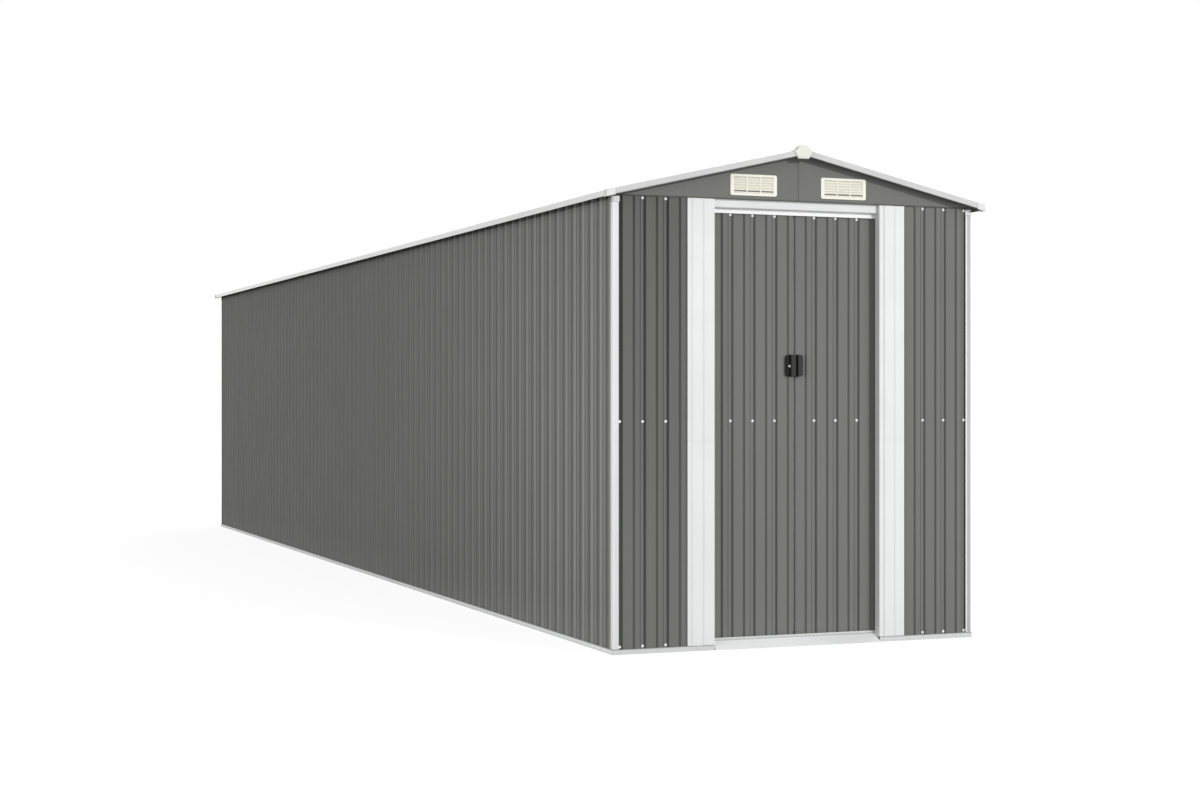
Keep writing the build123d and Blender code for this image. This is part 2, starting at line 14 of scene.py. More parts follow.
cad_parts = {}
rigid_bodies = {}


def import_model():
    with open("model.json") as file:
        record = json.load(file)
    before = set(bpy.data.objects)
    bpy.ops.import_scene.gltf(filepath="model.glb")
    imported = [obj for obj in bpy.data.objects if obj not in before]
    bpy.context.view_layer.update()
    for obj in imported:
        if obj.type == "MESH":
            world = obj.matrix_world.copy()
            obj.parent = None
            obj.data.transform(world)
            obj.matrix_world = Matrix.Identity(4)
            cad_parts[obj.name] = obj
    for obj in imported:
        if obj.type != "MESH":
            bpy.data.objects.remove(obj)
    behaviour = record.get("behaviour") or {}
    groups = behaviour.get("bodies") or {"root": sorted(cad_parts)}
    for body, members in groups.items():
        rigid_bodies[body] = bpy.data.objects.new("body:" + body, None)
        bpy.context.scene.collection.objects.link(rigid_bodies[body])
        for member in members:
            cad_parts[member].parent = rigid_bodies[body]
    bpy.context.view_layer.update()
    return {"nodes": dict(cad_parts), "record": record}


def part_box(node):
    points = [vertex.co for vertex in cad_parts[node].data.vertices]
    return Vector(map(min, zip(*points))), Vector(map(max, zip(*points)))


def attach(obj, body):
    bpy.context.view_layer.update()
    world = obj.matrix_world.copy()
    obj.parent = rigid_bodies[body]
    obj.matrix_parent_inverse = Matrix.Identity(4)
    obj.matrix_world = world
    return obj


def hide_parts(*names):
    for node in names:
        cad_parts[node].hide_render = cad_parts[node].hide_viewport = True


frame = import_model()

# Camera, fitted to the straight edges of the picture
PICTURE_WIDTH = 1200
FOCAL_PIXELS = 1969.88
HORIZON_PIXELS_UP = 1.5
SENSOR_WIDTH = 36.0
CAMERA_PLACE = (-4.0725, -12.6225, 1.119)
CAMERA_TURN = math.radians(21.28)

# Finishes, as sRGB values
GREY_COAT = (122, 123, 118)
WHITE_COAT = (233, 234, 234)
# Shaded copies of the white coat for the verge and header, lit copies for the eaves, posts and
# track lip
SHADED_VERGE_WHITE = (204, 205, 204)
LIT_EAVE_WHITE = (250, 251, 250)
LIT_POST_WHITE = (240, 241, 240)
SHADED_HEADER_WHITE = (227, 228, 228)
LIT_LIP_WHITE = (255, 255, 255)
GUIDE_COAT = (206, 207, 207)
ZINC = (222, 224, 224)
# Shaded copy of the zinc for the front and back base rails, lit copy for the side rails
SHADED_BASE_ZINC = (191, 192, 192)
LIT_SIDE_ZINC = (252, 253, 253)
BRIGHT_ZINC = (250, 251, 251)
# Lit copy of the zinc for the leaf frames, which lightens the shaded seam between the leaves
LIT_LEAF_ZINC = (252, 252, 252)
SCREW_COAT = (250, 250, 248)
LOCK_STEEL = (200, 201, 201)
# Lit and shaded copies of the cream: the vents' lifted, the ridge end caps' lowered
CREAM = (252, 252, 239)
SHADED_CAP_CREAM = (237, 239, 228)
SCREEN_CREAM = (224, 221, 203)
# Painted shade: a dark sheet that stands in for the shadow in the lowest vent slot
SLOT_SHADE_BROWN = (112, 110, 98)
CORNER_WHITE = (232, 232, 231)
WHITE_MOULDING = (230, 230, 229)
BLACK_MOULDING = (54, 54, 52)

# Patterns in the finishes: the usual range of a noise, the depth of a skin, the scale of zinc
# crystals, sheen, and the stretch of marks that run up the sheets and trims or along the sill
NOISE_LOW = 0.3
NOISE_HIGH = 0.7
SKIN_DEPTH = 0.0001
SPANGLE_SCALE = 90.0
GRIME_HEIGHT = 0.12
SHEET_GLOSS = 0.06
BLACK_ROUGH = 0.45
BLACK_GLOSS = 0.08
DULL_METALLIC = 0.2
ROUGH_SWING = 0.06
SHEET_MARKS = (9.0, 9.0, 0.12)
SHEET_SHEEN = (9.0, 9.0, 0.6)
TRIM_MARKS = (6.0, 6.0, 0.1)
SILL_GRAIN = (0.25, 30.0, 30.0)

# Walls, read from the frame
posts_low, posts_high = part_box("corner_posts")
WALL_X = posts_high.x
FRONT_Y = posts_low.y
WALLS = {
    "front": Matrix.Translation((0.0, FRONT_Y, 0.0)),
    "back": Matrix.Rotation(math.pi, 4, "Z") @ Matrix.Translation((0.0, FRONT_Y, 0.0)),
    "right": Matrix.Translation((WALL_X, 0.0, 0.0)) @ Matrix.Rotation(math.pi / 2, 4, "Z"),
    "left": Matrix.Translation((-WALL_X, 0.0, 0.0)) @ Matrix.Rotation(-math.pi / 2, 4, "Z"),
}

# Points across one rib: place, depth, painted shade and bend. The shade darkens the colour on
# slopes and creases where light falls off them, and below 0 paints a highlight. The bend is 0 where
# the steel runs straight, and 1 or 2 where it bends, with 2 for the slope that faces the front end.
Rib = namedtuple("Rib", "width points")
FACING_BEND = 2
WALL_RIB = Rib(0.0525, (
    (-0.0020, 0.0055, 0.00, 0), (0.0000, 0.0055, 0.25, 1), (0.0055, 0.0000, 0.42, 1),
    (0.0080, 0.0000, 0.25, 0), (0.0105, 0.0000, 0.00, 0), (0.0288, 0.0000, 0.00, 0),
    (0.0330, 0.0008, 0.40, 0), (0.0372, 0.0000, 0.00, 0), (0.0450, 0.0000, 0.00, 0),
    (0.0470, 0.0000, 0.10, 1), (0.0525, 0.0055, 0.55, 1), (0.0600, 0.0055, 0.60, 0),
    (0.0650, 0.0055, 0.00, 0)))
SIDE_RIB = Rib(0.0525, (
    (-0.0505, 0.0055, 0.26, 0), (-0.0425, 0.0055, 0.05, 0), (-0.0345, 0.0055, -0.48, 0),
    (-0.0255, 0.0055, -0.12, 0), (-0.0165, 0.0055, 0.12, 0), (-0.0075, 0.0055, 0.24, 0),
    (0.0000, 0.0055, 0.24, 1), (0.0055, 0.0000, 0.24, 1), (0.0115, 0.0000, 0.24, 0),
    (0.0175, 0.0000, 0.23, 0), (0.0235, 0.0000, 0.18, 0), (0.0315, 0.0000, 0.02, 0),
    (0.0375, 0.0000, -0.15, 0), (0.0425, 0.0000, -0.32, 0), (0.0453, 0.0000, -0.45, 0),
    (0.0470, 0.0000, -0.57, 2), (0.0525, 0.0055, -0.48, 2), (0.0542, 0.0055, -0.20, 0)))
ROOF_RIB = Rib(0.060, (
    (-0.0030, 0.0060, 0.00, 0), (0.0000, 0.0060, 0.15, 1), (0.0080, 0.0000, 0.15, 1),
    (0.0110, 0.0000, 0.00, 0), (0.0490, 0.0000, 0.00, 0), (0.0520, 0.0000, 0.15, 1),
    (0.0600, 0.0060, 0.15, 1), (0.0630, 0.0060, 0.00, 0)))

# Ribbed sheets
SHEET_THICKNESS = 0.0005
SHEET_GAP = 0.0003
PANEL_SETBACK = 0.0013
BEND_OFFSET = 0.0012
BEND_SEGMENTS = 3
FRONT_RIB_PITCH = 0.110
LEFT_PANEL_RIB = -0.8065
LEFT_PANEL_RIBS = 2
RIGHT_PANEL_RIB = 0.601
RIGHT_PANEL_RIBS = 3
LEFT_LEAF_RIB = -0.362
RIGHT_LEAF_RIB = 0.059
RIBS_PER_LEAF = 3
SIDE_PANELS = 12
RIBS_PER_SIDE_PANEL = 7
BACK_PANELS = 2
RIBS_PER_BACK_PANEL = 8

# Painted shade and light on the sheets: shares of the side rib's painted shade from the back to the
# front, a painted highlight on facing slopes and painted shade over the far end where shares are
# small, painted shade at the foot and the top of the front sheets, painted shadow in bands beside
# the posts, under the eaves and at the foot, and painted light just below the eave shadow and above
# the foot shadow
SIDE_SHADE_SHARES = (0.0, 0.0, 0.15, 0.7, 1.0, 1.3)
FACING_SHADE = -0.48
FAR_SHADE = 0.06
FAR_FADE = 0.3
PLAIN_TONES = (0.0, 0.0)
LEFT_PANEL_PAINTED_SHADE = (0.08, 0.27)
POST_SHADE = 0.45
POST_SHADE_WIDTH = 0.039
RIGHT_POST_SHADE_WIDTH = 0.043
EAVE_SHADOW_DEPTH = 0.030
EAVE_SHADE = 0.55
EAVE_LIGHT_DEPTH = 0.090
EAVE_LIGHT = -0.18
SHADOW_FADE = 0.006
FOOT_SHADOW_DEPTH = 0.009
FOOT_SHADE = 0.25
FOOT_LIGHT_DEPTH = 0.200
FOOT_LIGHT = -0.12

# Roof
RIDGE_Z = 2.243
EAVE_X = 0.950
EAVE_Z = 2.025
ROOF_RISE = RIDGE_Z - EAVE_Z
ROOF_PANELS = 11
RIBS_PER_ROOF_PANEL = 4
RIDGE_CAP_HALF = 0.016
ROOF_SHEET_DEPTH = 0.0013

# Screws, with the radius and rise of a head from its washer to its drive
SCREW_ON_RIB = 0.0440
SCREW_FACETS = 12
SCREW_PROFILE = ((0.0062, 0.0), (0.0062, 0.0008), (0.0046, 0.0013), (0.0043, 0.0023),
                 (0.0031, 0.0032), (0.0014, 0.0035), (0.0010, 0.0026), (0.0, 0.0026))
POST_SCREW_X = -0.8715
FOOT_ROW = 0.033
MIDDLE_ROW = 1.018
TOP_ROW = 1.999
LEAF_TOP_ROW = 1.943
WALL_ROWS = (FOOT_ROW, MIDDLE_ROW, TOP_ROW)
POST_ROWS = (FOOT_ROW, MIDDLE_ROW)
LEAF_ROWS = (MIDDLE_ROW, LEAF_TOP_ROW)

# Painted shade: soft darker lines where pieces fold, meet or lie in shade: axis, place, reach and
# tone
JAMB_FOLDS = (-0.5290, -0.4715, 0.4400, 0.4965)
VERGE_FOOT_DROP = 0.0277
RAIL_LIP_Z = 0.023
# Painted shade at the folds of the jamb ribs and at the right jamb's reveal edge
JAMB_LINES = [("X", fold, 0.005, 0.88) for fold in JAMB_FOLDS] + [("X", 0.4160, 0.004, 0.72)]
# Painted shade on the front of each front post and on the side flanges of the back posts
POST_LINES = [("X", 0.8930, 0.014, 0.50), ("X", -0.8840, 0.019, 0.84), ("Y", 4.6170, 0.022, 0.25)]
# Painted shade at the seam in the gable's middle and along its foot above the header
GABLE_LINES = [("X", 0.0, 0.004, 0.72), ("Z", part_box("front_gable_panels")[0].z, 0.008, 0.55)]
# Painted shade along the header's foot, where it meets the track lip
HEADER_LINES = [("Z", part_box("door_header")[0].z, 0.006, 0.65)]
# Painted shade along the foot of the verge trims
VERGE_LINES = [("slope", RIDGE_Z - VERGE_FOOT_DROP, 0.0045, 0.35)]
# Painted shade over the front end of the eave trims and ridge cap, fading over two metres
EAVE_LINES = [("Y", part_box("left_eave_trim")[0].y, 2.0, 0.80)]
# Painted shade at the sill's top edge, and a painted darker reflection over its right half
SILL_LINES = [("Z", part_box("door_sill")[1].z, 0.006, 0.65), ("X", 0.40, 0.45, 0.91)]
# Painted shade in the left cup of the left handle
GRIP_LINES = [("X", -0.0380, 0.020, 0.45)]
# Painted shadow under the top of the vent screens
SCREEN_LINES = [("Z", 2.1125, 0.008, 0.80)]
# Painted shade along the top of the rail lips, and on the side rails darker towards the ground
BASE_RAIL_LINES = [("Z", RAIL_LIP_Z, 0.004, 0.50)]
SIDE_RAIL_LINES = [("Z", 0.0, 0.015, 0.80), ("Z", RAIL_LIP_Z, 0.006, 0.40)]

# Rounding of copies of the frame's pieces: radius of folds, radius of rims, segments of folds
STEEL_ROUNDING = (0.0009, 0.0002, 3)
MOULDED_ROUNDING = {
    "post_caps": (0.0035, 0.0008, 4),
    "roof_corner_caps": (0.0015, 0.0005, 3),
    "ridge_end_caps": (0.0012, 0.0004, 3),
    "gable_vents": (0.0005, 0.0003, 3),
    "left_door_handle": (0.0008, 0.0004, 3),
    "right_door_handle": (0.0008, 0.0004, 3),
}
RIM_SEGMENTS = 2
FOLD_WIDTH = 0.006
FLAT_ANGLE = math.radians(1)
SHARP_ANGLE = math.radians(30)
MERGE_DISTANCE = 0.00001
FLATS_WEIGHT = 100

# Screens in the vents
VENT_MIDDLES = (-0.2235, 0.230)
SCREEN_WIDTH = 0.196
SCREEN_BOTTOM = 2.0455
SCREEN_MIDDLE = 2.0518
SCREEN_TOP = 2.1123
SCREEN_SETBACK = 0.0035
SCREEN_THICKNESS = 0.0006

# Lock in the handle
LOCK_X = -0.0245
LOCK_Z = 1.266
LOCK_SEAT = 0.0014
LOCK_RADIUS = 0.0060
LOCK_RISE = 0.0060
LOCK_FACETS = 24
LOCK_RIM_SHARE = 0.3
LOCK_SINK_SHARE = 0.25
LOCK_EDGE = 0.0003

# Light: suns with a direction, strength and spread in degrees, and soft lamps with a place, target,
# size and power
WORLD_LEVEL = 0.42
SUNS = {
    "key_light": ((-0.410, 0.879, -0.242), 1.27, 3.0),
    "fill_light": ((0.92, 0.38, -0.2), 0.53, 40.0),
    "back_light": ((-0.3, -0.7, -0.65), 0.8, 60.0),
}
LAMPS = {
    "left_softbox": ((-3.4, -5.6, 1.1), (-0.9, -4.4, 1.1), 1.6, 26.0),
    "right_softbox": ((4.0, -9.5, 1.1), (0.4, -4.6, 1.0), 3.0, 110.0),
}
FLOOR_SIZE = 60.0
FLOOR_ALBEDO = 0.25
FLOOR_GLOW = 0.86


def linear(colour):
    """Scene colour of an sRGB triple of 0 to 255."""
    values = []
    for channel in colour:
        share = channel / 255
        values.append(share / 12.92 if share <= 0.04045 else ((share + 0.055) / 1.055) ** 2.4)
    return (*values, 1.0)


def maths(tree, operation, first, second=0.0):
    """Works on a socket's value, with a second socket or a plain number where it needs one."""
    made = tree.nodes.new("ShaderNodeMath")
    made.operation = operation
    tree.links.new(first, made.inputs[0])
    if isinstance(second, float):
        made.inputs[1].default_value = second
    else:
        tree.links.new(second, made.inputs[1])
    return made.outputs["Value"]


class Finish:
    """A material under construction, with short calls that add nodes to its tree."""

    def __init__(self, name):
        self.material = bpy.data.materials.new(name)
        self.material.use_nodes = True
        self.tree = self.material.node_tree
        self.shader = self.tree.nodes["Principled BSDF"]
        self.place = self.tree.nodes.new("ShaderNodeTexCoord").outputs["Object"]

    def link(self, source, target):
        self.tree.links.new(source, target)

    def scaled_place(self, stretch):
        """Object coordinates, scaled along each axis where a stretch is given."""
        if stretch is None:
            return self.place
        mapping = self.tree.nodes.new("ShaderNodeMapping")
        mapping.inputs["Scale"].default_value = stretch
        self.link(self.place, mapping.inputs["Vector"])
        return mapping.outputs["Vector"]

    def noise(self, scale, detail=3.0, stretch=None):
        made = self.tree.nodes.new("ShaderNodeTexNoise")
        made.inputs["Scale"].default_value = scale
        made.inputs["Detail"].default_value = detail
        self.link(self.scaled_place(stretch), made.inputs["Vector"])
        return made.outputs["Fac"]

    def mottle(self, scale, low, high, **shape):
        """Noise that swings between low and high."""
        return self.spread(self.noise(scale, **shape), low, high)

    def cells(self, scale):
        """A random grey for each cell of a crystal pattern."""
        made = self.tree.nodes.new("ShaderNodeTexVoronoi")
        made.inputs["Scale"].default_value = scale
        self.link(self.place, made.inputs["Vector"])
        return made.outputs["Color"]

    def along(self, axis):
        """One coordinate, or for "slope" a point's height if moved up the roof to the ridge."""
        if axis == "slope":
            aside = maths(self.tree, "ABSOLUTE", self.along("X"))
            rise = maths(self.tree, "MULTIPLY", aside, ROOF_RISE / EAVE_X)
            return maths(self.tree, "ADD", rise, self.along("Z"))
        made = self.tree.nodes.new("ShaderNodeSeparateXYZ")
        self.link(self.place, made.inputs["Vector"])
        return made.outputs[axis]

    def line(self, axis, place, reach, tone):
        """A painted shade line near a place along an axis: full over half the reach, then fading.
        """
        offset = maths(self.tree, "SUBTRACT", self.along(axis), place)
        return self.spread(maths(self.tree, "ABSOLUTE", offset), tone, 1.0, reach / 2, reach)

    def attribute(self, name):
        made = self.tree.nodes.new("ShaderNodeAttribute")
        made.attribute_name = name
        return made.outputs["Fac"]

    def spread(self, source, low, high, start=NOISE_LOW, end=NOISE_HIGH, clamp=True):
        """Maps a pattern from start and end onto low and high."""
        made = self.tree.nodes.new("ShaderNodeMapRange")
        made.clamp = clamp
        made.inputs["From Min"].default_value = start
        made.inputs["From Max"].default_value = end
        made.inputs["To Min"].default_value = low
        made.inputs["To Max"].default_value = high
        self.link(source, made.inputs["Value"])
        return made.outputs["Result"]

    def colour(self, colour, lines, *patterns):
        """Base colour, made lighter and darker by patterns, painted shade and soft painted shade
        lines.
        """
        brightness, *others = (*patterns, *(self.line(*line) for line in lines))
        for pattern in others:
            brightness = maths(self.tree, "MULTIPLY", brightness, pattern)
        made = self.tree.nodes.new("ShaderNodeHueSaturation")
        made.inputs["Color"].default_value = linear(colour)
        self.link(brightness, made.inputs["Value"])
        self.link(made.outputs["Color"], self.shader.inputs["Base Color"])

    def bump(self, height, strength):
        made = self.tree.nodes.new("ShaderNodeBump")
        made.inputs["Distance"].default_value = SKIN_DEPTH
        made.inputs["Strength"].default_value = strength
        self.link(height, made.inputs["Height"])
        self.link(made.outputs["Normal"], self.shader.inputs["Normal"])

    def set(self, **values):
        """Plain values on the shader's sockets, with spaces in names written as underscores."""
        for name, value in values.items():
            self.shader.inputs[name.replace("_", " ")].default_value = value

    def roughness(self, source):
        self.link(source, self.shader.inputs["Roughness"])


def coated_sheet(name, colour, lines=()):
    """Coil-coated steel: soft mottling, a fine skin, faint roll marks, and painted shade and light
    from the sheet.
    """
    finish = Finish(name)
    cloudy = finish.mottle(1.4, 0.975, 1.025)
    roll_marks = finish.mottle(14.0, 0.985, 1.015, stretch=SHEET_MARKS)
    speck = finish.mottle(700.0, 0.98, 1.02, detail=1.0)
    # Painted shade and light: the sheet's attribute darkens the colour above 0 and lightens it
    # below 0
    folds = finish.spread(finish.attribute("fold_shade"), 1.0, 0.0, 0.0, 1.0, clamp=False)
    finish.colour(colour, lines, cloudy, roll_marks, speck, folds)
    finish.roughness(finish.mottle(6.0, 0.45, 0.56, stretch=SHEET_SHEEN))
    finish.set(Specular_IOR_Level=SHEET_GLOSS)
    finish.bump(finish.noise(420.0, detail=2.0), 0.5)
    return finish.material


def trim_coat(name, colour, lines=(), rough=0.46, gloss=0.4, lacquer=0.0):
    """Pale coated trim: like the sheets, with a little grime near the ground and painted shade
    lines.
    """
    finish = Finish(name)
    cloudy = finish.mottle(2.2, 0.98, 1.02)
    roll_marks = finish.mottle(30.0, 0.985, 1.01, stretch=TRIM_MARKS)
    grime = finish.spread(finish.along("Z"), 0.96, 1.0, 0.0, GRIME_HEIGHT)
    finish.colour(colour, lines, cloudy, roll_marks, grime)
    finish.roughness(finish.mottle(9.0, rough - ROUGH_SWING, rough + ROUGH_SWING))
    finish.set(Specular_IOR_Level=gloss, Coat_Weight=lacquer)
    finish.bump(finish.noise(420.0, detail=2.0), 0.4)
    return finish.material


def galvanised(name, colour, metallic=0.55, lines=()):
    """Zinc-coated steel: pale spangle cells and slight cloudiness."""
    finish = Finish(name)
    spangle = finish.spread(finish.cells(SPANGLE_SCALE), 0.94, 1.04, 0.0, 1.0)
    cloudy = finish.mottle(5.0, 0.96, 1.03)
    finish.colour(colour, lines, spangle, cloudy)
    finish.set(Metallic=metallic)
    finish.roughness(finish.spread(finish.cells(SPANGLE_SCALE), 0.38, 0.52, 0.0, 1.0))
    finish.bump(finish.noise(300.0), 0.3)
    return finish.material


def brushed(name, colour, lines=()):
    """Sill plate: bright steel with fine grain along the doorway."""
    finish = Finish(name)
    grain = finish.mottle(40.0, 0.93, 1.04, detail=4.0, stretch=SILL_GRAIN)
    cloudy = finish.mottle(4.0, 0.96, 1.03)
    finish.colour(colour, lines, grain, cloudy)
    finish.set(Metallic=DULL_METALLIC)
    finish.roughness(finish.mottle(40.0, 0.35, 0.5, stretch=SILL_GRAIN))
    finish.bump(finish.noise(60.0, stretch=SILL_GRAIN), 0.3)
    return finish.material


def moulding(name, colour, rough=0.5, gloss=0.25, lines=()):
    """Moulded plastic: even colour with faint flow marks and a fine spark-eroded grain."""
    finish = Finish(name)
    flow = finish.mottle(18.0, 0.975, 1.025)
    finish.colour(colour, lines, flow)
    finish.roughness(finish.mottle(250.0, rough - 0.05, rough + 0.06))
    finish.set(Specular_IOR_Level=gloss)
    finish.bump(finish.noise(900.0), 0.4)
    return finish.material


finishes = {
    "grey_paint": coated_sheet("grey_coated_sheet", GREY_COAT),
    "white_paint": trim_coat("white_coated_trim", WHITE_COAT),
    "galvanised_steel": galvanised("galvanised_rail", ZINC),
    "cream_plastic": moulding("cream_moulding", CREAM),
    "white_plastic": moulding("white_moulding", WHITE_MOULDING),
    "black_plastic": moulding("black_moulding", BLACK_MOULDING, BLACK_ROUGH, BLACK_GLOSS),
}
# Lit and shaded copies of the white coat, zinc and cream, several with painted shade lines
verge_coat = trim_coat("verge_coat", SHADED_VERGE_WHITE, VERGE_LINES)
eave_coat = trim_coat("eave_coat", LIT_EAVE_WHITE, EAVE_LINES, rough=0.17, gloss=0.7, lacquer=1.0)
post_coat = trim_coat("post_coat", LIT_POST_WHITE, POST_LINES, rough=0.34)
header_coat = trim_coat("header_coat", SHADED_HEADER_WHITE, HEADER_LINES)
lit_lip_white = trim_coat("track_lip_coat", LIT_LIP_WHITE)
jamb_coat = trim_coat("jamb_coat", WHITE_COAT, JAMB_LINES)
guide_coat = trim_coat("guide_coat", GUIDE_COAT)
gable_coat = coated_sheet("gable_coat", GREY_COAT, GABLE_LINES)
shaded_base_zinc = galvanised("base_rail_zinc", SHADED_BASE_ZINC, DULL_METALLIC, BASE_RAIL_LINES)
side_zinc_lit_and_shaded = galvanised("side_rail_zinc", LIT_SIDE_ZINC, DULL_METALLIC, SIDE_RAIL_LINES)
sill_steel = brushed("brushed_sill_steel", BRIGHT_ZINC, SILL_LINES)
shaded_cap_cream = moulding("ridge_cap_moulding", SHADED_CAP_CREAM)
corner_white = moulding("corner_cap_moulding", CORNER_WHITE)
grip_black = moulding("left_grip_moulding", BLACK_MOULDING, BLACK_ROUGH, BLACK_GLOSS, GRIP_LINES)
screen_cream = moulding("screen_moulding", SCREEN_CREAM, lines=SCREEN_LINES)
slot_shade_sheet = moulding("slot_moulding", SLOT_SHADE_BROWN)
screw_coat = moulding("screw_cap_coat", SCREW_COAT, rough=0.4)
lit_leaf_zinc = galvanised("leaf_frame_zinc", LIT_LEAF_ZINC, metallic=0.0)
lock_steel = galvanised("lock_steel", LOCK_STEEL, DULL_METALLIC)
slots = {part["node"]: part["material_slot"] for part in frame["record"]["subparts"]}


def dress_frame():
    """Gives every CAD node the finish of its record slot, or a closer one."""
    for name, node in frame["nodes"].items():
        finish = finishes[slots[name]]
        # The gables take painted shade lines, and the door frames the lit zinc that lightens the
        # seam between the leaves
        if "gable_panels" in name:
            finish = gable_coat
        elif name.endswith("door_frame"):
            finish = lit_leaf_zinc
        node.data.materials.clear()
        node.data.materials.append(finish)


def body_of(node):
    return frame["nodes"][node].parent.name.split(":")[1]


def add_piece(name, bm, body, slot, finish, *nodes, thickness=0.0):
    """Makes an object of a finished bmesh, rides it on a body and lets it stand for CAD nodes."""
    mesh = bpy.data.meshes.new(name)
    bm.to_mesh(mesh)
    bm.free()
    mesh.materials.append(finish)
    mesh.shade_smooth()
    mesh.set_sharp_from_angle(angle=SHARP_ANGLE)
    made = bpy.data.objects.new(name, mesh)
    bpy.context.scene.collection.objects.link(made)
    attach(made, body)
    if nodes:
        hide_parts(*nodes)
    if thickness:
        skin = made.modifiers.new("steel", "SOLIDIFY")
        skin.thickness = thickness
        skin.offset = -1.0
    flats = made.modifiers.new("even_flats", "WEIGHTED_NORMAL")
    flats.keep_sharp = True
    flats.weight = FLATS_WEIGHT


def mirrored(rib):
    """The same rib seen from the other side of the building."""
    points = tuple((rib.width - place, *rest) for place, *rest in reversed(rib.points))
    return Rib(rib.width, points)


def rib_points(rib, start, end, first, pitch):
    """Points along a ribbed sheet from start to end, with ribs at a pitch, one of them at first."""
    before = math.ceil((first - start) / pitch) + 1
    after = math.ceil((end - first) / pitch) + 1
    points = [(first + index * pitch + place, *rest) for index in range(-before, after)
              for place, *rest in rib.points]
    places, depths, shades, _ = zip(*points)
    ends = [(edge, np.interp(edge, places, depths), np.interp(edge, places, shades), 0)
            for edge in (start, end)]
    inside = [point for point in points if start + BEND_OFFSET < point[0] < end - BEND_OFFSET]
    return [ends[0], *inside, ends[1]]


def sheet_row(rib, count, ribs, span):
    """Points of each of several like sheets that lie side by side along a span."""
    start, end = span
    width = (end - start + SHEET_GAP) / count
    pitch = width / ribs
    for index in range(count):
        edge = start + index * width
        first = edge + (pitch - rib.width) / 2
        yield rib_points(rib, edge, edge + width - SHEET_GAP, first, pitch)


def shaded_edge(points, low, high):
    """Paints a shadow on the points that lie between two places along the sheet."""
    return [(place, depth, max(shade, POST_SHADE) if low <= place <= high else shade, bend)
            for place, depth, shade, bend in points]


def shared_shade(points, span, shares):
    """Shares out the rib's painted shade along a wall; paints facing slopes lighter at small
    shares.
    """
    knots = np.linspace(*span, len(shares))
    shaded = []
    for place, depth, shade, bend in points:
        share = np.interp(place, knots, shares)
        rest = max(0.0, 1.0 - share)
        # Painted light on the slopes that face the front, evening out their shade where the share
        # is small
        facing = FACING_SHADE * rest if bend == FACING_BEND else 0.0
        # Painted shade: the far end, where shares are small, a little darker
        far = FAR_SHADE * min(1.0, rest / FAR_FADE)
        shaded.append((place, depth, shade * share + facing + far, bend))
    return shaded


def raise_sheet(bm, points, front, levels):
    """Adds a sheet bent along the points, facing -Y, up through levels of height and painted shade.
    """
    shade = bm.verts.layers.float["fold_shade"]
    foot, foot_shade = levels[0]
    line = []
    for place, depth, tone, _ in points:
        line.append(bm.verts.new((place, front + depth, foot)))
        line[-1][shade] = tone + foot_shade
    for pair in zip(line, line[1:]):
        bm.edges.new(pair)
    bends = [vert for vert, (*_, bend) in zip(line, points) if bend]
    bmesh.ops.bevel(bm, geom=bends, offset=BEND_OFFSET, offset_type="OFFSET",
                    segments=BEND_SEGMENTS, profile=0.5, affect="VERTICES", material=-1)
    edges = [edge for edge in bm.edges if edge.is_wire]
    faces = []
    for (low, below), (high, tone) in zip(levels, levels[1:]):
        made = bmesh.ops.extrude_edge_only(bm, edges=edges)["geom"]
        verts = [item for item in made if isinstance(item, bmesh.types.BMVert)]
        edges = [item for item in made if isinstance(item, bmesh.types.BMEdge)]
        faces += [item for item in made if isinstance(item, bmesh.types.BMFace)]
        bmesh.ops.translate(bm, verts=verts, vec=(0.0, 0.0, high - low))
        for vert in verts:
            vert[shade] += tone - below
    bmesh.ops.recalc_face_normals(bm, faces=faces)
    if sum(face.normal.y * face.calc_area() for face in faces) > 0:
        bmesh.ops.reverse_faces(bm, faces=faces)


def sheet_bmesh():
    bm = bmesh.new()
    bm.verts.layers.float.new("fold_shade")
    return bm


def sheet_piece(bm, node):
    """Finishes ribbed sheets as a piece with the steel's thickness behind the front."""
    add_piece(f"{node}_ribbed", bm, body_of(node), slots[node], finishes["grey_paint"], node,
              thickness=SHEET_THICKNESS)


def front_sheets():
    """Sheets beside the doorway and on the two leaves, with painted shadow beside the corner posts.
    """
    # The left panel takes painted shade, more at its top than at its foot
    for node, first, (foot, top) in (("front_left_panel", LEFT_PANEL_RIB, LEFT_PANEL_PAINTED_SHADE),
                                     ("front_right_panel", RIGHT_PANEL_RIB, PLAIN_TONES),
                                     ("left_door_panel", LEFT_LEAF_RIB, PLAIN_TONES),
                                     ("right_door_panel", RIGHT_LEAF_RIB, PLAIN_TONES)):
        low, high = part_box(node)
        bm = sheet_bmesh()
        points = rib_points(WALL_RIB, low.x, high.x, first, FRONT_RIB_PITCH)
        points = shaded_edge(points, -WALL_X, POST_SHADE_WIDTH - WALL_X)
        points = shaded_edge(points, WALL_X - RIGHT_POST_SHADE_WIDTH, WALL_X)
        raise_sheet(bm, points, low.y, [(low.z, foot), (high.z, top)])
        sheet_piece(bm, node)


def panel_row(node, side, rib, count, ribs, span, levels, shade_shares=(1.0, 1.0)):
    """A wall of like ribbed sheets, with shares of the rib's shade evenly along it."""
    bm = sheet_bmesh()
    for points in sheet_row(rib, count, ribs, span):
        raise_sheet(bm, shared_shade(points, span, shade_shares), PANEL_SETBACK, levels)
    bmesh.ops.transform(bm, matrix=WALLS[side], verts=bm.verts)
    sheet_piece(bm, node)


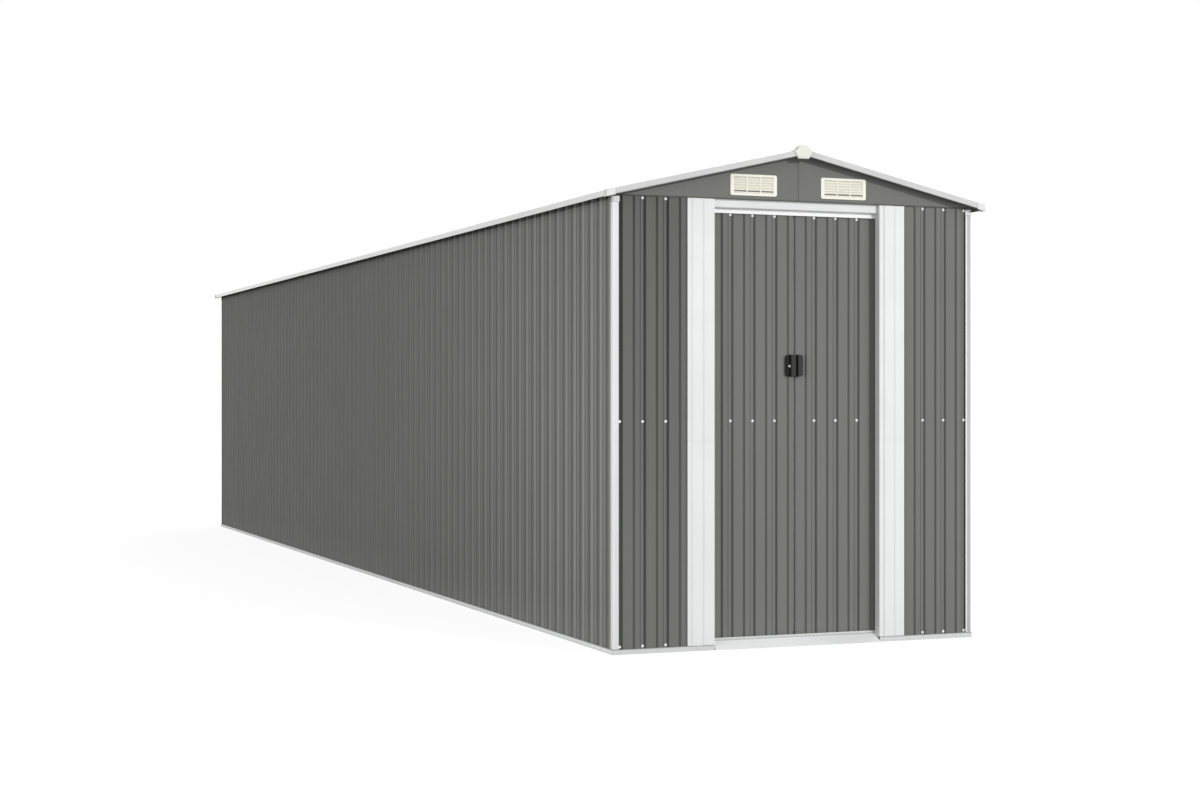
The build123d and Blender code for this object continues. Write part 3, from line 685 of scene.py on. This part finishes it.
def wall_sheets():
    """Side walls with painted shadow under the eaves and at the foot, painted light beside both,
    and the back.
    """
    for side in ("left", "right"):
        node = f"{side}_wall_panels"
        low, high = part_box(node)
        shadow = high.z - EAVE_SHADOW_DEPTH
        levels = [(low.z, FOOT_SHADE), (low.z + FOOT_SHADOW_DEPTH, FOOT_LIGHT),
                  (low.z + FOOT_LIGHT_DEPTH, 0.0), (shadow - EAVE_LIGHT_DEPTH, 0.0),
                  (shadow - SHADOW_FADE, EAVE_LIGHT), (shadow, EAVE_SHADE), (high.z, EAVE_SHADE)]
        rib, span, shares = SIDE_RIB, (-high.y, -low.y), SIDE_SHADE_SHARES
        if side == "right":
            rib, span, shares = mirrored(SIDE_RIB), (low.y, high.y), SIDE_SHADE_SHARES[::-1]
        panel_row(node, side, rib, SIDE_PANELS, RIBS_PER_SIDE_PANEL, span, levels, shares)
    low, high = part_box("back_wall_panels")
    panel_row("back_wall_panels", "back", WALL_RIB, BACK_PANELS, RIBS_PER_BACK_PANEL,
              (-high.x, -low.x), [(low.z, 0.0), (high.z, 0.0)])


def roof_sheets():
    """Roof sheets, ribbed down the slope."""
    angle = math.atan2(ROOF_RISE, EAVE_X)
    ridge_end = math.hypot(ROOF_RISE, EAVE_X) - RIDGE_CAP_HALF
    up_slope = Vector((-math.cos(angle), 0.0, math.sin(angle)))
    into_roof = Vector((-math.sin(angle), 0.0, -math.cos(angle)))
    axes = Matrix((Vector((0.0, 1.0, 0.0)), into_roof, up_slope)).transposed().to_4x4()
    right = Matrix.Translation((EAVE_X, 0.0, EAVE_Z)) @ axes
    for side, place in (("right", right), ("left", Matrix.Rotation(math.pi, 4, "Z") @ right)):
        node = f"{side}_roof_panels"
        low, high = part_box(node)
        span = (low.y, high.y) if side == "right" else (-high.y, -low.y)
        eave_end = (EAVE_X - max(high.x, -low.x)) / math.cos(angle) + ROOF_SHEET_DEPTH
        bm = sheet_bmesh()
        for points in sheet_row(ROOF_RIB, ROOF_PANELS, RIBS_PER_ROOF_PANEL, span):
            raise_sheet(bm, points, ROOF_SHEET_DEPTH, [(eave_end, 0.0), (ridge_end, 0.0)])
        bmesh.ops.transform(bm, matrix=place, verts=bm.verts)
        sheet_piece(bm, node)


def screw_head():
    """Mesh of one pan-head screw on its washer, facing -Y from the origin."""
    bm = bmesh.new()
    line = [bm.verts.new((radius, -rise, 0.0)) for radius, rise in SCREW_PROFILE]
    edges = [bm.edges.new(pair) for pair in zip(line, line[1:])]
    bmesh.ops.spin(bm, geom=line + edges, cent=(0, 0, 0), axis=(0, 1, 0), angle=2 * math.pi,
                   steps=SCREW_FACETS, use_merge=True)
    bmesh.ops.remove_doubles(bm, verts=bm.verts, dist=MERGE_DISTANCE)
    bmesh.ops.recalc_face_normals(bm, faces=bm.faces)
    if sum(face.normal.y for face in bm.faces) > 0:
        bmesh.ops.reverse_faces(bm, faces=bm.faces)
    mesh = bpy.data.meshes.new("screw_head")
    bm.to_mesh(mesh)
    bm.free()
    return mesh


def screw_row(bm, head, wall, places):
    """Adds a head at each place of a wall: along it, how deep, and how high."""
    for place in places:
        bm.from_mesh(head)
        bm.verts.ensure_lookup_table()
        added = bm.verts[-len(head.vertices):]
        bmesh.ops.transform(bm, matrix=WALLS[wall] @ Matrix.Translation(place), verts=added)


def screws():
    """Pale screws on the ribs of the front, the leaves and the back."""
    head = screw_head()
    bm = bmesh.new()
    places = [(first + index * FRONT_RIB_PITCH + SCREW_ON_RIB, PANEL_SETBACK, row)
              for first, count in ((LEFT_PANEL_RIB, LEFT_PANEL_RIBS),
                                   (RIGHT_PANEL_RIB, RIGHT_PANEL_RIBS))
              for index in range(count) for row in WALL_ROWS]
    places += [(POST_SCREW_X, 0.0, row) for row in POST_ROWS]
    screw_row(bm, head, "front", places)
    low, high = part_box("back_wall_panels")
    pitch = (high.x - low.x + SHEET_GAP) / BACK_PANELS / RIBS_PER_BACK_PANEL
    first = low.x + (pitch - WALL_RIB.width) / 2 + SCREW_ON_RIB
    places = [(first + index * pitch, PANEL_SETBACK, row)
              for index in range(BACK_PANELS * RIBS_PER_BACK_PANEL) for row in WALL_ROWS]
    screw_row(bm, head, "back", places)
    add_piece("wall_screws", bm, "shed", "galvanised_steel", screw_coat)
    for side, first in (("left", LEFT_LEAF_RIB), ("right", RIGHT_LEAF_RIB)):
        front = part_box(f"{side}_door_panel")[0].y - FRONT_Y
        bm = bmesh.new()
        places = [(first + index * FRONT_RIB_PITCH + SCREW_ON_RIB, front, row)
                  for index in range(RIBS_PER_LEAF) for row in LEAF_ROWS]
        screw_row(bm, head, "front", places)
        add_piece(f"{side}_door_screws", bm, f"{side}_door", "galvanised_steel", screw_coat)


def width_beside(edge, face):
    """How far a face reaches away from one of its edges."""
    start = edge.verts[0].co
    along = (edge.verts[1].co - start).normalized()
    return max((vert.co - start).cross(along).length for vert in face.verts)


def sharp_edges(bm):
    return [edge for edge in bm.edges
            if edge.is_manifold and edge.calc_face_angle() > SHARP_ANGLE]


def round_edges(bm, edges, offset, segments):
    bmesh.ops.bevel(bm, geom=edges, offset=offset, offset_type="OFFSET", segments=segments,
                    profile=0.5, affect="EDGES", clamp_overlap=True, material=-1)


def softened(node, finish):
    """Lets a copy of a CAD node with rounded folds and soft rims stand for it."""
    fold, rim, segments = MOULDED_ROUNDING.get(node, STEEL_ROUNDING)
    bm = bmesh.new()
    bm.from_mesh(frame["nodes"][node].data)
    bmesh.ops.remove_doubles(bm, verts=bm.verts, dist=MERGE_DISTANCE)
    bmesh.ops.dissolve_limit(bm, angle_limit=FLAT_ANGLE, verts=bm.verts, edges=bm.edges)
    folds = [edge for edge in sharp_edges(bm)
             if min(width_beside(edge, face) for face in edge.link_faces) > FOLD_WIDTH]
    if folds:
        round_edges(bm, folds, fold, segments)
    round_edges(bm, sharp_edges(bm), rim, RIM_SEGMENTS)
    add_piece(f"{node}_soft", bm, body_of(node), slots[node], finish, node)


def fittings():
    """Posts, jambs, trims, rails, caps, vents and handles with rounded folds and rims."""
    for node, finish in (("corner_posts", post_coat), ("door_header", header_coat),
                         ("door_guide", guide_coat), ("door_track", lit_lip_white),
                         ("left_jamb", jamb_coat), ("left_base_rail", side_zinc_lit_and_shaded),
                         ("left_eave_trim", eave_coat), ("right_jamb", jamb_coat),
                         ("right_base_rail", side_zinc_lit_and_shaded), ("right_eave_trim", eave_coat),
                         ("front_base_rails", shaded_base_zinc), ("back_base_rail", shaded_base_zinc),
                         ("door_sill", sill_steel), ("verge_trims", verge_coat),
                         ("ridge_cap", eave_coat), ("post_caps", finishes["white_plastic"]),
                         ("roof_corner_caps", corner_white), ("ridge_end_caps", shaded_cap_cream),
                         ("gable_vents", finishes["cream_plastic"]),
                         ("left_door_handle", grip_black),
                         ("right_door_handle", finishes["black_plastic"])):
        softened(node, finish)


def vent_screens():
    """Screens behind the slats of the front vents: pale, and a dark stand-in for shade in the
    lowest row.
    """
    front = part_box("gable_vents")[0].y + SCREEN_SETBACK
    for name, bottom, top, finish in (
            ("vent_screens", SCREEN_MIDDLE, SCREEN_TOP, screen_cream),
            ("vent_foot_slots", SCREEN_BOTTOM, SCREEN_MIDDLE, slot_shade_sheet)):
        bm = bmesh.new()
        for middle in VENT_MIDDLES:
            place = Matrix.Translation((middle, front + SCREEN_THICKNESS / 2, (bottom + top) / 2))
            size = Matrix.Diagonal((SCREEN_WIDTH, SCREEN_THICKNESS, top - bottom, 1.0))
            bmesh.ops.create_cube(bm, size=1.0, matrix=place @ size)
        add_piece(name, bm, "shed", "cream_plastic", finish)


def lock():
    """Round lock face in the cup of the left handle, with a sunk middle."""
    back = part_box("left_door_handle")[1].y - LOCK_SEAT
    bm = bmesh.new()
    bmesh.ops.create_cone(bm, cap_ends=True, segments=LOCK_FACETS, radius1=LOCK_RADIUS,
                          radius2=LOCK_RADIUS, depth=LOCK_RISE)
    bmesh.ops.rotate(bm, verts=bm.verts, cent=(0, 0, 0),
                     matrix=Matrix.Rotation(math.pi / 2, 3, "X"))
    bmesh.ops.translate(bm, verts=bm.verts, vec=(LOCK_X, back - LOCK_RISE / 2, LOCK_Z))
    face = min(bm.faces, key=lambda item: item.calc_center_median().y)
    bmesh.ops.inset_region(bm, faces=[face], thickness=LOCK_RADIUS * LOCK_RIM_SHARE, depth=0.0)
    bmesh.ops.translate(bm, verts=face.verts, vec=(0.0, LOCK_RISE * LOCK_SINK_SHARE, 0.0))
    round_edges(bm, sharp_edges(bm), LOCK_EDGE, RIM_SEGMENTS)
    add_piece("lock_face", bm, "left_door", "galvanised_steel", lock_steel)


def direct_view(tree):
    """1 for rays from the camera, mirrors and glass."""
    rays = tree.nodes.new("ShaderNodeLightPath").outputs
    seen = maths(tree, "MAXIMUM", rays["Is Camera Ray"], rays["Is Glossy Ray"])
    return maths(tree, "MAXIMUM", seen, rays["Is Transmission Ray"])


def outside_walls(tree):
    """1 on the floor outside the building, 0 inside it."""
    place = tree.nodes.new("ShaderNodeTexCoord")
    parts = tree.nodes.new("ShaderNodeSeparateXYZ")
    tree.links.new(place.outputs["Object"], parts.inputs["Vector"])
    beyond = [maths(tree, "GREATER_THAN", maths(tree, "ABSOLUTE", parts.outputs[axis]), limit)
              for axis, limit in (("X", WALL_X), ("Y", -FRONT_Y))]
    return maths(tree, "MAXIMUM", *beyond)


def floor_finish():
    """Matt pale floor that reads as white in the light and keeps the soft shadow."""
    material = bpy.data.materials.new("studio_floor")
    material.use_nodes = True
    tree = material.node_tree
    tree.nodes.clear()
    out = tree.nodes.new("ShaderNodeOutputMaterial")
    matt = tree.nodes.new("ShaderNodeBsdfDiffuse")
    matt.inputs["Color"].default_value = (FLOOR_ALBEDO, FLOOR_ALBEDO, FLOOR_ALBEDO, 1.0)
    glow = tree.nodes.new("ShaderNodeEmission")
    level = maths(tree, "MULTIPLY", direct_view(tree), FLOOR_GLOW)
    tree.links.new(maths(tree, "MULTIPLY", level, outside_walls(tree)), glow.inputs["Strength"])
    both = tree.nodes.new("ShaderNodeAddShader")
    tree.links.new(matt.outputs["BSDF"], both.inputs[0])
    tree.links.new(glow.outputs["Emission"], both.inputs[1])
    tree.links.new(both.outputs["Shader"], out.inputs["Surface"])
    return material


def surroundings():
    """White world that lights the scene softly and looks white where it is seen."""
    world = bpy.data.worlds.new("white_studio")
    world.use_nodes = True
    bpy.context.scene.world = world
    tree = world.node_tree
    tree.nodes.clear()
    out = tree.nodes.new("ShaderNodeOutputWorld")
    lit = tree.nodes.new("ShaderNodeBackground")
    lit.inputs["Strength"].default_value = WORLD_LEVEL
    seen = tree.nodes.new("ShaderNodeBackground")
    mix = tree.nodes.new("ShaderNodeMixShader")
    for background in (lit, seen):
        background.inputs["Color"].default_value = (1.0, 1.0, 1.0, 1.0)
    tree.links.new(direct_view(tree), mix.inputs["Fac"])
    tree.links.new(lit.outputs["Background"], mix.inputs[1])
    tree.links.new(seen.outputs["Background"], mix.inputs[2])
    tree.links.new(mix.outputs["Shader"], out.inputs["Surface"])


def sun(name, direction, strength, spread):
    """Far light with soft shadows, shining along a direction."""
    light = bpy.data.lights.new(name, "SUN")
    light.energy = strength
    light.angle = math.radians(spread)
    made = bpy.data.objects.new(name, light)
    made.rotation_euler = Vector(direction).to_track_quat("-Z", "Y").to_euler()
    bpy.context.scene.collection.objects.link(made)


def lamp(name, place, target, size, power):
    """Square soft lamp that faces a point."""
    light = bpy.data.lights.new(name, "AREA")
    light.size = size
    light.energy = power
    made = bpy.data.objects.new(name, light)
    made.location = place
    made.rotation_euler = (Vector(target) - Vector(place)).to_track_quat("-Z", "Y").to_euler()
    made.visible_camera = False
    bpy.context.scene.collection.objects.link(made)


def studio():
    """Pale floor, white surroundings and soft lamps."""
    surroundings()
    bm = bmesh.new()
    bmesh.ops.create_grid(bm, x_segments=1, y_segments=1, size=FLOOR_SIZE)
    mesh = bpy.data.meshes.new("floor")
    bm.to_mesh(mesh)
    bm.free()
    mesh.materials.append(floor_finish())
    floor = bpy.data.objects.new("floor", mesh)
    bpy.context.scene.collection.objects.link(floor)
    for name, values in SUNS.items():
        sun(name, *values)
    for name, values in LAMPS.items():
        lamp(name, *values)


def camera():
    """Level camera at the picture's viewpoint."""
    made = bpy.data.cameras.new("camera")
    made.sensor_fit = "HORIZONTAL"
    made.sensor_width = SENSOR_WIDTH
    made.lens = FOCAL_PIXELS * SENSOR_WIDTH / PICTURE_WIDTH
    made.shift_y = -HORIZON_PIXELS_UP / PICTURE_WIDTH
    holder = bpy.data.objects.new("camera", made)
    holder.location = CAMERA_PLACE
    holder.rotation_euler = (math.pi / 2, 0.0, -CAMERA_TURN)
    bpy.context.scene.collection.objects.link(holder)
    bpy.context.scene.camera = holder
    bpy.context.scene.view_settings.view_transform = "Standard"


dress_frame()
front_sheets()
wall_sheets()
roof_sheets()
screws()
fittings()
vent_screens()
lock()
studio()
camera()
